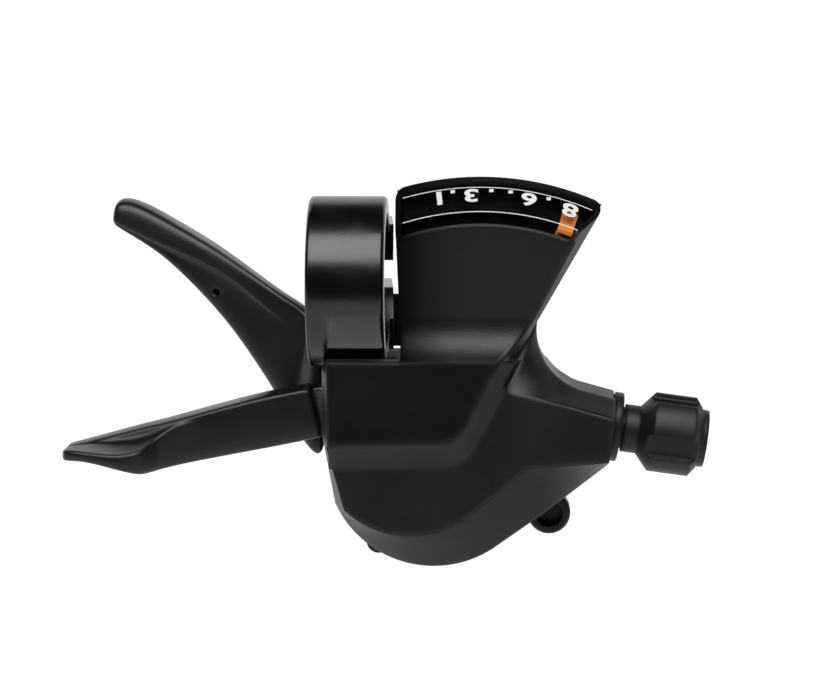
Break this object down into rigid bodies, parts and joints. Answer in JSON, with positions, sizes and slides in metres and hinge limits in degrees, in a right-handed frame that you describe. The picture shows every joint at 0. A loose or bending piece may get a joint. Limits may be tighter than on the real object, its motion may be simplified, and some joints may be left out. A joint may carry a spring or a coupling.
{
  "type": "bicycle gear shifter",
  "caption": "Right-hand bicycle trigger gear shifter with split handlebar clamp, fan-shaped gear display, thumb paddle, finger trigger and a lobed cable adjuster.",
  "frame": {"origin": "centre of the handlebar clamp's bore, at the middle of its width", "axes": "+X along the handlebar towards the cable outlet, +Y towards the thumb paddle's side with the cover facing -Y, +Z from the mechanism to the clamp"},
  "size_m": [0.1037, 0.0481, 0.0649],
  "materials": {
    "black_casting": "satin black painted casting",
    "steel": "plain zinc-plated steel",
    "spring_steel": "drawn spring wire",
    "black_plastic": "fine-grained moulded plastic",
    "lever_plastic": "fine-grained moulded plastic",
    "smoked_lens": "glossy dark clear moulding",
    "orange_plastic": "bright orange moulding",
    "drum_plastic": "glass-filled moulding",
    "rubber": "soft black"
  },
  "bodies": {
    "housing": {"bracket": "black_casting", "clamp_bolt": "steel", "top_cover": "black_plastic", "lens": "smoked_lens", "dial_plate": "black_plastic", "needle_pin": "steel", "main_axle": "steel", "axle_clip": "spring_steel", "axle_nut": "steel", "hold_pin": "steel", "hold_spring": "spring_steel", "release_pin": "steel", "release_spring": "spring_steel", "spacer_pin": "steel", "return_spring": "spring_steel", "spring_bush": "drum_plastic", "rear_plate": "steel", "bottom_cover": "black_plastic", "port_cap": "rubber", "cover_screws": "steel", "adjuster_insert": "black_plastic", "adjuster_spring": "spring_steel"},
    "thumb_lever": {"lever_plate": "steel", "lever_paddle": "lever_plastic", "feed_pin": "steel"},
    "feed_pawl": {"feed_pawl": "steel"},
    "drum": {"cable_drum": "drum_plastic", "ratchet_wheel": "steel"},
    "pointer": {"needle": "orange_plastic"},
    "finger_lever": {"release_plate": "steel", "release_cap": "lever_plastic"},
    "hold_pawl": {"hold_pawl": "steel"},
    "cable_screw": {"adjuster_screw": "steel"},
    "knob": {"adjuster_knob": "lever_plastic"}
  },
  "joints": [
    {"name": "thumb_lever_swing", "type": "hinge", "parent": "housing", "child": "thumb_lever", "pos_m": [0.0118, 0, -0.0272], "axis": [0, -1, 0], "range_deg": [0, 36], "stiffness_Nm_per_rad": 0.3, "springref_deg": -14.32, "deforming": ["return_spring"]},
    {"name": "feed_pawl_tilt", "type": "hinge", "parent": "thumb_lever", "child": "feed_pawl", "pos_m": [-0.00095, 0, -0.02378], "axis": [0, -1, 0], "range_deg": [0, 17.5]},
    {"name": "drum_turn", "type": "hinge", "parent": "housing", "child": "drum", "pos_m": [0.0118, 0, -0.0272], "axis": [0, -1, 0], "range_deg": [0, 126]},
    {"name": "pointer_swing", "type": "hinge", "parent": "housing", "child": "pointer", "pos_m": [0.0214, 0, -0.0272], "axis": [0, -1, 0], "range_deg": [0, 28.5]},
    {"name": "finger_lever_swing", "type": "hinge", "parent": "housing", "child": "finger_lever", "pos_m": [0.0021, 0, -0.0198], "axis": [0, 1, 0], "range_deg": [0, 6], "stiffness_Nm_per_rad": 0.3, "springref_deg": -11.46, "deforming": ["release_spring"]},
    {"name": "hold_pawl_lift", "type": "hinge", "parent": "housing", "child": "hold_pawl", "pos_m": [0.0239, 0, -0.01735], "axis": [0, -1, 0], "range_deg": [0, 18], "deforming": ["hold_spring"]},
    {"name": "cable_screw_travel", "type": "slide", "parent": "housing", "child": "cable_screw", "axis": [0.9914, 0, -0.1305], "range_m": [0, 0.003]},
    {"name": "knob_turn", "type": "hinge", "parent": "cable_screw", "child": "knob", "pos_m": [0.05191, -0.007, -0.0234], "axis": [0.9914, 0, -0.1305], "range_deg": [0, 1080]}
  ],
  "couplings": [
    {"joint": "pointer_swing", "follows": "drum_turn", "ratio": 0.22581},
    {"joint": "hold_pawl_lift", "follows": "finger_lever_swing", "ratio": 3},
    {"joint": "knob_turn", "follows": "cable_screw_travel", "rad_per_m": 6283.2}
  ]
}
